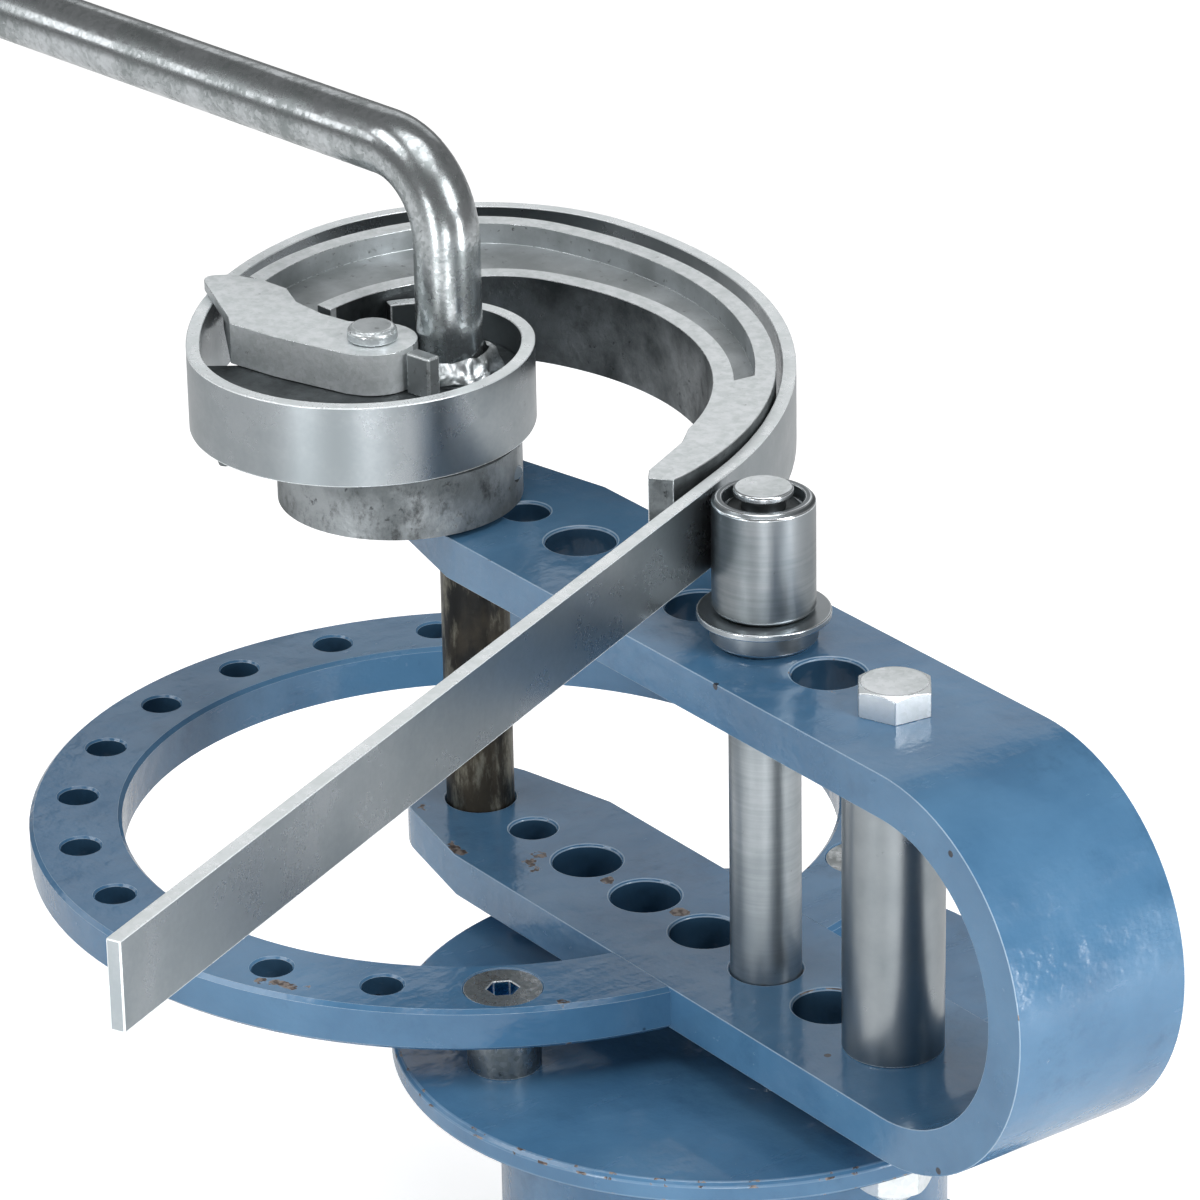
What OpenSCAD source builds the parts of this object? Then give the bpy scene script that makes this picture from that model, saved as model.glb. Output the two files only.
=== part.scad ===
// Bench ring roller: a looped bending frame on a round pedestal, with a stop ring, a turning
// scroll head with its hinged former and handle, a counter roller, and the flat bar being rolled.
// Z is up. The origin is the centre of the foot's underside, on the column's axis.
// The arms of the frame run along X, and their bend points to +X.

/* [Pedestal] */
// Diameter of the round foot plate
foot_d = 300; // [240:5:360]
// Thickness of the foot plate
foot_t = 15; // [10:1:25]
// Distance from the foot's rim to the middle of each holding-down hole
foot_hole_in = 25; // [18:1:32]
// Diameter of each holding-down hole
foot_hole_d = 18; // [12:1:22]
// Outer diameter of the column tube
column_d = 159; // [130:1:170]
// Wall of the column tube
column_wall = 6; // [4:0.5:10]
// Length of the column tube between foot and top disc
column_len = 137; // [80:1:900]
// Diameter of the top disc
disc_d = 234; // [225:1:260]
// Thickness of the top disc
disc_t = 8; // [6:0.5:14]

/* [Frame] */
// Thickness of the frame's flat bar and of the stop ring
bar_t = 16; // [12:1:20]
// Width of the frame's flat bar
bar_w = 70; // [60:1:80]
// Clear height between the two arms
arm_gap = 110; // [90:1:140]
// Distance from the pivot hole to the centre of the bend
bend_x = 277; // [265:1:320]
// Radius of the arm's nose round the pivot hole
nose_r = 27; // [24:1:30]
// Distance from the pivot to the column's axis
pivot_x = 146; // [135:1:150]
// Height of the gap between the top disc and the lower arm
standoff_h = 14; // [10:1:25]

/* [Holes along the arms] */
// Distance from the pivot hole to the small hole
small_hole_x = 33; // [30:1:36]
// Diameter of the small hole
small_hole_d = 17; // [12:1:18]
// Distance from the pivot hole to the first large hole
first_pin_x = 66; // [62:1:70]
// Pitch of the large holes
pin_pitch = 35; // [33:1:37]
// Diameter of the pins and of the pivot post
pin_d = 25; // [22:1:26]
// Depth of the chamfer round the holes
rim_chamfer = 0.8; // [0.4:0.1:1.5]

/* [Stop ring] */
// Outer radius of the stop ring
ring_r = 166; // [160:1:172]
// Width of the stop ring's flat
ring_w = 34; // [30:1:38]
// Diameter of the stop holes
stop_hole_d = 14.5; // [10:0.5:16]
// Angle between neighbouring stop holes
stop_hole_step = 16; // [14:0.5:17]
// Angle of the last stop hole, before the screw
stop_hole_last = 311.3; // [308:0.1:314]
// Angle of the ring screws either side of the arm
ring_screw_a = 32.5; // [30:0.5:35]

/* [Fasteners] */
// Thread diameter of the countersunk ring screws
ring_screw_d = 14; // [10:1:14]
// Diameter of the bosses under the ring
boss_d = 26; // [22:1:30]
// Thread diameter of the frame bolt
bolt_d = 16; // [12:1:16]
// Width across flats of the frame bolt and its nut
bolt_af = 24; // [22:1:27]
// Outer diameter of the spacer tube on the frame bolt
spacer_d = 35; // [30:1:40]

/* [Scroll head] */
// Radius of the eccentric hub
hub_r = 44; // [42:1:46]
// Distance from the pivot to the hub's centre along X
hub_x = -6; // [-9:1:-4]
// Distance from the pivot to the hub's centre along Y
hub_y = -27; // [-29:1:-25]
// Height of the hub under the coil
hub_h = 22; // [18:1:30]
// Thickness of the cam plate that the strip is wound on
cam_t = 18; // [14:1:22]
// Outer radius of the strip's innermost arc
coil_small_r = 40; // [38:1:42]
// Place of that arc's centre along X
coil_small_x = -13.6; // [-15:0.1:-12]
// Place of that arc's centre along Y
coil_small_y = -10.1; // [-12:0.1:-8]
// Angle at which that arc meets the next one
coil_join_a = 57.6; // [54:0.1:60]
// Diameter of the hinge pin in the finger
hinge_pin_d = 12; // [10:1:14]
// Diameter of the hinge pin's head
hinge_head_d = 18; // [16:1:20]
// Place of the hinge pin along X
hinge_x = -17; // [-20:1:-15]
// Place of the hinge pin along Y
hinge_y = -29.5; // [-31:0.5:-28]

/* [Former] */
// Height of the former
former_h = 33; // [30:1:36]
// Radius of the former's outer face along its back
former_out_r = 165; // [160:0.5:166]
// Radius of the former's inner face
former_in_r = 110; // [104:1:114]
// Depth of the channel cast into the former's top
channel_depth = 8; // [5:1:12]
// Wall of the former beside the channel
channel_wall = 7.5; // [5:0.5:9]
// Thickness of the finger
finger_t = 15.5; // [12:0.5:15.5]

/* [Handle] */
// Diameter of the handle bar
handle_d = 24; // [20:1:28]
// Place of the handle's foot along X
handle_x = -8; // [-9:0.5:-4]
// Place of the handle's foot along Y
handle_y = -2.5; // [-4:0.5:0]
// Height of the handle's arm above the cam plate
handle_rise = 79; // [60:1:120]
// Bend radius of the handle on its centre line
handle_bend_r = 30; // [26:1:40]
// Reach of the handle's arm from its upright
handle_len = 590; // [300:5:900]
// Direction of the handle's arm
handle_a = 187.5; // [170:0.5:200]

/* [Roller] */
// Outer diameter of the roller sleeve
roller_d = 35.5; // [33:0.5:35.5]
// Height of the roller sleeve
roller_h = 41; // [36:1:48]
// Outer diameter of the collar under the roller
collar_d = 37; // [36:1:40]
// Height of the collar under the roller
collar_h = 9; // [7:0.5:10]
// Outer diameter of the flange washer
flange_d = 46; // [42:1:46]
// Diameter of the spindle inside the roller
spindle_d = 20.5; // [18:0.5:22]

/* [Strip] */
// Thickness of the flat bar being rolled
strip_t = 5; // [3:0.5:5]
// Width of the flat bar being rolled
strip_w = 30; // [20:1:30]
// Length of the straight tail
tail_len = 380; // [200:5:500]

/* [Hidden] */
$fn = 96;

// Clearances and overruns
fit_gap = 0.05;
seat_gap = 0.3;
over = 1;
edge_chamfer = 1.5;

// Circle of holding-down holes
foot_pcd = foot_d - 2 * foot_hole_in;

// Levels
disc_z = foot_t + column_len;
disc_top = disc_z + disc_t;
arm_z = disc_top + standoff_h;
arm_top = arm_z + bar_t;
upper_z = arm_top + arm_gap;
upper_top = upper_z + bar_t;
bend_r_in = arm_gap / 2;
bend_r_out = bend_r_in + bar_t;

// Places along the arms, from the pivot
spacer_x = first_pin_x + 5 * pin_pitch;
roller_x = first_pin_x + 3 * pin_pitch;
nose_end_x = small_hole_x;
pin_hole_d = pin_d + 2 * fit_gap;

// Stop ring
ring_mid_r = ring_r - ring_w / 2;
stop_holes = 12;

// Fasteners
head_h = 10;
washer_t = 3;
washer_d = 28;
nut_h = 13;
thread_out = 4;
socket_af = 10;
socket_depth = 6;
screw_head_r = ring_screw_d;
screw_drop = 0.4;
bolt_hole_d = bolt_d + 1;
spacer_bore = bolt_d + 2;
bush_d = 34;

// Scroll head levels
thrust_t = 2;
thrust_d = 34;
hub_z = upper_top + thrust_t;
cam_z = hub_z + hub_h;
cam_top = cam_z + cam_t;
strip_z = cam_z;
strip_top = strip_z + strip_w;
post_below = 8;
post_end_wall = 6;
roll_pin_d = 6;
roll_pin_z = hub_z + hub_h / 2;

// Arcs of the strip's outer face, from the core outwards: radius and sweep of each
arc_r_share = [1, 1.5575, 3.869, 2.1037, 4.616, 5.339];
arc_sweeps = [107, 178, 46.03, 92.61, 41.22, 34.7];
arc_radii = [for (s = arc_r_share) s * coil_small_r];
arc_step = 2.5;
// Overlap of the handle's upright with its bend
handle_lap = 0.05;

// Core outline: where its two arcs begin and end
core_small_from = 130;
core_large_to = 225;
core_left = [[-40, -34], [-35, 0]];

// Finger outline in shares of its length from the pin, along it and across it
finger_len = 84;
finger_a = 185.5;
finger_shares = [
    [-0.116, 0.158], [-0.05, 0.189], [0.312, 0.286], [0.562, 0.325], [0.906, 0.089],
    [0.965, -0.003], [0.99, -0.049],
    [0.853, -0.099], [0.706, -0.109], [0.555, -0.04], [0.375, -0.031], [0.224, -0.057], [0.117, -0.149]
];
heel_r = 16.1;

// Lip at the finger's tip, which laps over the bar's upper edge
lip_plan = [[-58, -55], [-63.5, -60], [-66, -58.5], [-101, -46], [-107, -42.5], [-101.7, -34.4], [-85, -30]];

// Former outline: a large arc along its back and a smaller one at its left end, with a corner arc between;
// the inner face has the same three
former_z = cam_z + over;
finger_z = cam_top + seat_gap;
former_top = finger_z + finger_t;
back_at = [-8.4, -63.7];
back_from = 16;
back_to = 110.7;
corner_at = [-45.6, 34.5];
corner_r = 60;
left_at = [-1.7, 20];
left_r = 106.2;
left_from = 161.7;
left_to = 208;
former_tip = [[150.9, -22.5], [144.2, -28.2], [139, -23.8], [126.7, -0.6]];
inner_at = [23.4, -46.8];
inner_from = 30;
inner_to = 116.5;
inner_corner_at = [-7.8, 15.8];
inner_corner_r = 40;
inner_left_at = [20.8, -2.1];
inner_left_r = 73.8;
inner_left_from = 148;
inner_left_to = 198.6;
channel_from = 49;
channel_end_a = 53;

// Lug cast under the cam plate
lug_at = [-38, -80];
lug_r = 5;
lug_h = 8;

// Small pieces of the head
stop_len = 11;
stop_w = 6;
stop_at = [5.5, -23.5];
weld_r = 6;
weld_sweep = 220;
hinge_head_h = 5;
hinge_depth = 16;

// Roller stack
collar_z = upper_top;
flange_t = 2.5;
flange_z = collar_z + collar_h;
sleeve_z = flange_z + flange_t + seat_gap;
sleeve_top = sleeve_z + roller_h;
clip_t = 1.2;
clip_d = spindle_d + 4;
mouth_d = 28;
mouth_depth = 5;
clip_z = sleeve_top - mouth_depth + seat_gap;
neck_d = 15;
nose_h = 2.5;
nose_rise = 3.5;
nose_chamfer = 0.6;
pin_below = 4;
spindle_bore_d = spindle_d + 2 * fit_gap;

function unit(a) = [cos(a), sin(a)];

// An arc is [centre, radius, start angle, sweep]: it turns clockwise seen from above
function arc_from(p, heading, r, sweep) = [p + r * unit(heading - 90), r, heading + 90, sweep];
function arc_end(a) = a[0] + a[1] * unit(a[2] - a[3]);
arc0 = [[coil_small_x, coil_small_y], arc_radii[0], coil_join_a + arc_sweeps[0], arc_sweeps[0]];
arc1 = arc_from(arc_end(arc0), coil_join_a - 90, arc_radii[1], arc_sweeps[1]);
arc2 = arc_from(arc_end(arc1), arc1[2] - arc1[3] - 90, arc_radii[2], arc_sweeps[2]);
arc3 = arc_from(arc_end(arc2), arc2[2] - arc2[3] - 90, arc_radii[3], arc_sweeps[3]);
arc4 = arc_from(arc_end(arc3), arc3[2] - arc3[3] - 90, arc_radii[4], arc_sweeps[4]);
arc5 = arc_from(arc_end(arc4), arc4[2] - arc4[3] - 90, arc_radii[5], arc_sweeps[5]);
strip_arcs = [arc0, arc1, arc2, arc3, arc4, arc5];
tail_a = arc5[2] - arc5[3] - 90;

// Points along one arc, moved inwards
function arc_points(a, inward, from = 0, to = 1) =
    let (n = ceil(a[3] * (to - from) / arc_step))
    [for (i = [0:n]) a[0] + (a[1] - inward) * unit(a[2] - a[3] * (from + (to - from) * i / n))];

module at_pivot(p = [0, 0], z = 0) { translate([p[0] - pivot_x, p[1], z]) children(); }

// A hole with a chamfered rim at both ends
module rimmed_hole(d, z, h) {
    translate([0, 0, z - over]) cylinder(d = d, h = h + 2 * over);
    for (end = [0, 1]) translate([0, 0, z + end * h]) mirror([0, 0, end])
        translate([0, 0, -over]) cylinder(d1 = d + 2 * (rim_chamfer + over), d2 = d - 2 * over,
            h = rim_chamfer + 2 * over);
}

module foot_plate() {
    color("steelblue") difference() {
        union() {
            cylinder(d = foot_d, h = foot_t - edge_chamfer);
            translate([0, 0, foot_t - edge_chamfer])
                cylinder(d1 = foot_d, d2 = foot_d - 2 * edge_chamfer, h = edge_chamfer);
        }
        for (a = [45:90:315]) rotate(a) translate([foot_pcd / 2, 0, -over])
            cylinder(d = foot_hole_d, h = foot_t + 2 * over);
    }
}

module column_tube() {
    weld = column_wall;
    color("steelblue") translate([0, 0, foot_t]) difference() {
        union() {
            cylinder(d = column_d, h = column_len);
            cylinder(d1 = column_d + 2 * weld, d2 = column_d, h = weld);
        }
        translate([0, 0, -over])
            cylinder(d = column_d - 2 * column_wall, h = column_len + 2 * over);
    }
}

module top_disc() {
    color("steelblue") difference() {
        translate([0, 0, disc_z]) rotate_extrude() polygon([
            [0, 0], [disc_d / 2 - edge_chamfer / 2, 0], [disc_d / 2, edge_chamfer / 2],
            [disc_d / 2, disc_t - edge_chamfer], [disc_d / 2 - edge_chamfer, disc_t], [0, disc_t]
        ]);
        at_pivot([spacer_x, 0], disc_z - over) cylinder(d = bolt_hole_d, h = disc_t + 2 * over);
    }
}

module at_ring_screws() {
    for (s = [-1, 1]) at_pivot(ring_mid_r * unit(s * ring_screw_a)) children();
}

module ring_bosses() {
    color("gainsboro") at_ring_screws() translate([0, 0, disc_top]) difference() {
        cylinder(d = boss_d, h = standoff_h);
        translate([0, 0, -over]) cylinder(d = ring_screw_d + 2 * fit_gap, h = standoff_h + 2 * over);
    }
}

module ring_screws() {
    head = screw_head_r - ring_screw_d / 2;
    top = arm_top - screw_drop;
    color("silver") at_ring_screws() difference() {
        union() {
            translate([0, 0, disc_top + over])
                cylinder(d = ring_screw_d, h = top - disc_top - over);
            translate([0, 0, top - head]) cylinder(r1 = ring_screw_d / 2, r2 = screw_head_r, h = head);
        }
        translate([0, 0, top - socket_depth])
            cylinder(d = socket_af / cos(30), h = socket_depth + over, $fn = 6);
    }
}

module stop_ring() {
    head = screw_head_r - ring_screw_d / 2;
    color("steelblue") difference() {
        at_pivot([0, 0], arm_z) rotate_extrude() polygon([
            [ring_r - ring_w, 0], [ring_r - edge_chamfer, 0], [ring_r, edge_chamfer],
            [ring_r, bar_t - edge_chamfer], [ring_r - edge_chamfer, bar_t],
            [ring_r - ring_w + edge_chamfer, bar_t], [ring_r - ring_w, bar_t - edge_chamfer]
        ]);
        at_pivot([0, -bar_w / 2], arm_z - over) cube([ring_r + over, bar_w, bar_t + 2 * over]);
        for (k = [0:stop_holes - 1]) at_pivot(ring_mid_r * unit(stop_hole_last - k * stop_hole_step))
            rimmed_hole(stop_hole_d, arm_z, bar_t);
        at_ring_screws() {
            translate([0, 0, arm_z - over]) cylinder(d = ring_screw_d + 2 * fit_gap, h = bar_t + 2 * over);
            translate([0, 0, arm_top - head - screw_drop])
                cylinder(r1 = ring_screw_d / 2 + seat_gap, r2 = screw_head_r + seat_gap, h = head);
            translate([0, 0, arm_top - screw_drop]) cylinder(r = screw_head_r + seat_gap, h = over);
        }
    }
}

// Plan of one arm: a round nose at the pivot that widens to the full bar
module arm_plan() {
    polygon(concat(
        [for (a = [100:8:260]) nose_r * unit(a)],
        [[nose_end_x, -bar_w / 2], [bend_x, -bar_w / 2], [bend_x, bar_w / 2], [nose_end_x, bar_w / 2]]
    ));
}

module u_frame() {
    color("steelblue") difference() {
        union() {
            at_pivot([0, 0], arm_z) linear_extrude(bar_t) arm_plan();
            at_pivot([0, 0], upper_z) linear_extrude(bar_t) arm_plan();
            at_pivot([bend_x, bar_w / 2], arm_top + bend_r_in) rotate([90, 0, 0]) difference() {
                cylinder(r = bend_r_out, h = bar_w, $fn = 160);
                translate([0, 0, -over]) cylinder(r = bend_r_in, h = bar_w + 2 * over, $fn = 160);
                translate([-bend_r_out - over, -bend_r_out - over, -over])
                    cube([bend_r_out + over, 2 * (bend_r_out + over), bar_w + 2 * over]);
            }
        }
        for (z = [arm_z, upper_z]) {
            at_pivot() rimmed_hole(pin_hole_d, z, bar_t);
            at_pivot([small_hole_x, 0]) rimmed_hole(small_hole_d, z, bar_t);
            for (k = [0:4]) at_pivot([first_pin_x + k * pin_pitch, 0]) rimmed_hole(pin_hole_d, z, bar_t);
            at_pivot([spacer_x, 0], z - over) cylinder(d = bolt_hole_d, h = bar_t + 2 * over);
        }
    }
}

module tube_on_bolt(d, bore, z, h) {
    at_pivot([spacer_x, 0], z) difference() {
        cylinder(d = d, h = h);
        translate([0, 0, -over]) cylinder(d = bore, h = h + 2 * over);
    }
}

module arm_bush() { color("gainsboro") tube_on_bolt(bush_d, bolt_hole_d, disc_top, standoff_h); }

module frame_spacer() { color("gainsboro") tube_on_bolt(spacer_d, spacer_bore, arm_top, arm_gap); }

module nut_washer() { color("silver") tube_on_bolt(washer_d, bolt_hole_d, disc_z - washer_t, washer_t); }

// A hexagon with the round chamfer of a turned corner on its upper end
module hex_head(h) {
    intersection() {
        cylinder(d = bolt_af / cos(30), h = h, $fn = 6);
        union() {
            cylinder(d = bolt_af / cos(30) + over, h = 0.86 * h);
            translate([0, 0, 0.86 * h])
                cylinder(d1 = bolt_af / cos(30), d2 = bolt_af - edge_chamfer, h = 0.14 * h);
        }
    }
}

module frame_bolt() {
    bottom = disc_z - washer_t - nut_h - thread_out;
    color("silver") at_pivot([spacer_x, 0]) {
        translate([0, 0, bottom + edge_chamfer]) cylinder(d = bolt_d, h = upper_top - bottom - edge_chamfer);
        translate([0, 0, bottom]) cylinder(d1 = bolt_d - 2 * edge_chamfer, d2 = bolt_d, h = edge_chamfer);
        translate([0, 0, upper_top]) rotate(22) hex_head(head_h);
    }
}

module frame_nut() {
    color("silver") at_pivot([spacer_x, 0], disc_z - washer_t) mirror([0, 0, 1]) difference() {
        hex_head(nut_h);
        translate([0, 0, -over]) cylinder(d = bolt_d + 2 * fit_gap, h = nut_h + 2 * over);
    }
}

module pivot_post() {
    bottom = arm_z - post_below;
    top = cam_top - post_end_wall;
    color("dimgray") difference() {
        at_pivot() {
            translate([0, 0, bottom + edge_chamfer]) cylinder(d = pin_d, h = top - bottom - edge_chamfer);
            translate([0, 0, bottom]) cylinder(d1 = pin_d - 2 * edge_chamfer, d2 = pin_d, h = edge_chamfer);
        }
        roll_pin_hole(0);
    }
}

module thrust_washer() {
    color("darkgray") at_pivot([0, 0], upper_top) difference() {
        cylinder(d = thrust_d, h = thrust_t - fit_gap);
        translate([0, 0, -over]) cylinder(d = pin_hole_d, h = thrust_t + 2 * over);
    }
}

// The cross hole through the hub and the post, along X
module roll_pin_hole(gap) {
    at_pivot([-hub_r - pin_d, 0], roll_pin_z) rotate([0, 90, 0])
        cylinder(d = roll_pin_d + 2 * gap, h = 2 * (hub_r + pin_d));
}

module core_plan() {
    inward = strip_t + seat_gap;
    small = arc0[0];
    large = arc1[0];
    polygon(concat(
        [for (a = [core_small_from:-arc_step:coil_join_a]) small + (arc0[1] - inward) * unit(a)],
        [for (a = [coil_join_a - arc_step:-arc_step:core_large_to - 360])
            large + (arc1[1] - inward) * unit(a)],
        [for (p = core_left) p]
    ));
}

module scroll_core() {
    color("darkgray") difference() {
        union() {
            at_pivot([hub_x, hub_y], hub_z) cylinder(r = hub_r, h = hub_h);
            at_pivot([0, 0], cam_z) linear_extrude(cam_t) core_plan();
            at_pivot(lug_at, cam_z - lug_h) cylinder(r1 = lug_r / 2, r2 = lug_r, h = lug_h);
        }
        at_pivot([0, 0], hub_z - over)
            cylinder(d = pin_hole_d, h = cam_top - post_end_wall - hub_z + over + seat_gap);
        at_pivot([hinge_x, hinge_y], cam_top - hinge_depth)
            cylinder(d = hinge_pin_d + 2 * fit_gap, h = hinge_depth + over);
        roll_pin_hole(fit_gap);
    }
}

module post_roll_pin() {
    reach = sqrt(pow(hub_r, 2) - pow(hub_y, 2));
    color("silver") at_pivot([hub_x - reach + over, 0], roll_pin_z) rotate([0, 90, 0])
        cylinder(d = roll_pin_d, h = 2 * (reach - over));
}

module strip_stop() {
    color("darkgray") at_pivot(stop_at, cam_top) rotate(12)
        translate([-stop_len / 2, -stop_w / 2, 0]) cube([stop_len, stop_w, finger_t]);
}

module handle_bar() {
    upright = handle_rise - handle_bend_r;
    color("silver") at_pivot([handle_x, handle_y], cam_top) {
        rotate(handle_a) {
            cylinder(d = handle_d, h = upright + handle_lap);
            translate([handle_bend_r, 0, upright]) rotate([90, 0, 0]) rotate(90)
                rotate_extrude(angle = 90) translate([handle_bend_r, 0]) circle(d = handle_d);
            translate([handle_bend_r, 0, handle_rise]) rotate([0, 90, 0])
                cylinder(d = handle_d, h = handle_len - handle_bend_r - edge_chamfer);
            translate([handle_len - edge_chamfer, 0, handle_rise]) rotate([0, 90, 0])
                cylinder(d1 = handle_d, d2 = handle_d - 2 * edge_chamfer, h = edge_chamfer);
        }
    }
}

// The bead that joins the handle to the cam plate
module handle_weld() {
    color("silver") at_pivot([handle_x, handle_y], cam_top) rotate(-60)
        rotate_extrude(angle = weld_sweep) polygon([
            [handle_d / 2 + fit_gap, 0], [handle_d / 2 + weld_r, 0],
            [handle_d / 2 + 0.8 * weld_r, 0.5 * weld_r], [handle_d / 2 + fit_gap, 1.3 * weld_r]
        ]);
}

module hinge_pin() {
    color("darkgray") at_pivot([hinge_x, hinge_y]) {
        translate([0, 0, cam_top - hinge_depth + seat_gap])
            cylinder(d = hinge_pin_d, h = former_top - cam_top + hinge_depth);
        translate([0, 0, former_top + seat_gap]) {
            cylinder(d = hinge_head_d, h = hinge_head_h - edge_chamfer);
            translate([0, 0, hinge_head_h - edge_chamfer])
                cylinder(d1 = hinge_head_d, d2 = hinge_head_d - 2 * edge_chamfer, h = edge_chamfer);
        }
    }
}

function ring_points(at, r, from, to) = let (n = ceil(abs(to - from) / arc_step))
    [for (i = [0:n]) at + r * unit(from + (to - from) * i / n)];

// Former in plan: along the back and the left end, then home along the inner face to the tip
module former_plan() {
    polygon(concat(
        ring_points(back_at, former_out_r, back_from, back_to - arc_step),
        ring_points(corner_at, corner_r, back_to, left_from - arc_step),
        ring_points(left_at, left_r, left_from, left_to),
        ring_points(inner_left_at, inner_left_r, inner_left_to, inner_left_from + arc_step),
        ring_points(inner_corner_at, inner_corner_r, inner_left_from, inner_to + arc_step),
        ring_points(inner_at, former_in_r, inner_to, inner_from),
        [for (k = [len(former_tip) - 1:-1:0]) former_tip[k]]
    ));
}

module channel_plan() {
    polygon(concat(
        ring_points(back_at, former_out_r - channel_wall, channel_from, back_to - arc_step),
        ring_points(corner_at, corner_r - channel_wall, back_to, left_from - arc_step),
        ring_points(left_at, left_r - channel_wall, left_from, left_to + 1),
        ring_points(inner_left_at, inner_left_r + channel_wall, inner_left_to + 1,
            inner_left_from + arc_step),
        ring_points(inner_corner_at, inner_corner_r + channel_wall, inner_left_from, inner_to + arc_step),
        ring_points(inner_at, former_in_r + channel_wall, inner_to, channel_end_a)
    ));
}

module finger_plan() {
    c = cos(finger_a);
    s = sin(finger_a);
    translate([hinge_x, hinge_y]) {
        polygon([for (p = finger_shares) finger_len * [c * p[0] - s * p[1], s * p[0] + c * p[1]]]);
        circle(r = heel_r);
    }
}

module scroll_former() {
    color("lightgray") difference() {
        union() {
            difference() {
                at_pivot([0, 0], former_z) linear_extrude(former_top - former_z) former_plan();
                at_pivot([0, 0], former_top - channel_depth)
                    linear_extrude(channel_depth + over) channel_plan();
            }
            at_pivot([0, 0], finger_z) linear_extrude(finger_t) finger_plan();
            at_pivot([0, 0], strip_top + seat_gap)
                linear_extrude(former_top - strip_top - seat_gap) polygon(lip_plan);
        }
        at_pivot([hinge_x, hinge_y], finger_z - over)
            cylinder(d = hinge_pin_d + 2 * fit_gap, h = finger_t + 2 * over);
    }
}

module roller_pin() {
    bottom = arm_z - pin_below;
    nose_top = sleeve_top + nose_rise;
    color("gainsboro") at_pivot([roller_x, 0]) {
        translate([0, 0, bottom]) cylinder(d1 = pin_d - 2 * edge_chamfer, d2 = pin_d, h = edge_chamfer);
        translate([0, 0, bottom + edge_chamfer]) cylinder(d = pin_d, h = upper_top - bottom - edge_chamfer);
        translate([0, 0, upper_top]) cylinder(d = spindle_d, h = clip_z - fit_gap - upper_top);
        translate([0, 0, clip_z - fit_gap]) cylinder(d = neck_d, h = nose_top - nose_h - clip_z + fit_gap);
        translate([0, 0, nose_top - nose_h]) cylinder(d = spindle_d, h = nose_h - nose_chamfer);
        translate([0, 0, nose_top - nose_chamfer])
            cylinder(d1 = spindle_d, d2 = spindle_d - 2 * nose_chamfer, h = nose_chamfer);
    }
}

module ring_on_spindle(d, bore, z, h) {
    at_pivot([roller_x, 0], z) difference() {
        cylinder(d = d, h = h);
        translate([0, 0, -over]) cylinder(d = bore, h = h + 2 * over);
    }
}

module roller_collar() {
    color("gainsboro") at_pivot([roller_x, 0], collar_z) difference() {
        union() {
            cylinder(d1 = collar_d - 2 * edge_chamfer, d2 = collar_d, h = edge_chamfer);
            translate([0, 0, edge_chamfer]) cylinder(d = collar_d, h = collar_h - edge_chamfer);
        }
        translate([0, 0, -over]) cylinder(d = spindle_bore_d, h = collar_h + 2 * over);
    }
}

module roller_flange() { color("gainsboro") ring_on_spindle(flange_d, spindle_bore_d, flange_z, flange_t); }

module roller_clip() {
    color("dimgray") ring_on_spindle(clip_d, neck_d + 2 * fit_gap, clip_z, clip_t);
}

module roller_sleeve() {
    color("gainsboro") at_pivot([roller_x, 0], sleeve_z) difference() {
        rotate_extrude() polygon([
            [spindle_bore_d / 2, 0], [roller_d / 2 - edge_chamfer, 0], [roller_d / 2, edge_chamfer],
            [roller_d / 2, roller_h - edge_chamfer], [roller_d / 2 - edge_chamfer, roller_h],
            [spindle_bore_d / 2, roller_h]
        ]);
        translate([0, 0, roller_h - mouth_depth]) cylinder(d = mouth_d, h = mouth_depth + over);
    }
}

// Both faces of the flat bar in plan: out along the outer face, back along the inner one
module strip_plan() {
    outer = [for (a = strip_arcs) each arc_points(a, 0)];
    inner = [for (k = [len(strip_arcs) - 1:-1:0]) let (p = arc_points(strip_arcs[k], strip_t))
        each [for (i = [len(p) - 1:-1:0]) p[i]]];
    tail = tail_len * unit(tail_a);
    polygon(concat(outer, [arc_end(arc5) + tail, arc_end(arc5) + tail + strip_t * unit(tail_a - 90)], inner));
}

module workpiece_strip() {
    color("gainsboro") at_pivot([0, 0], strip_z) linear_extrude(strip_w) strip_plan();
}

foot_plate();
column_tube();
top_disc();
ring_bosses();
ring_screws();
stop_ring();
u_frame();
arm_bush();
frame_spacer();
frame_bolt();
nut_washer();
frame_nut();
pivot_post();
thrust_washer();
scroll_core();
post_roll_pin();
strip_stop();
handle_bar();
handle_weld();
hinge_pin();
scroll_former();
roller_pin();
roller_collar();
roller_flange();
roller_clip();
roller_sleeve();
workpiece_strip();
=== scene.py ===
# A hand ring roller on a round pedestal: a looped frame with a stop ring, a turning scroll head with
# its handle and hinged former, a counter roller, and the flat bar that is being rolled.
# All sizes are in metres. Z is up, the arms run along X, and the foot stands on the floor at Z 0.
import bpy, bmesh, math
from mathutils import Matrix, Vector, noise


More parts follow.
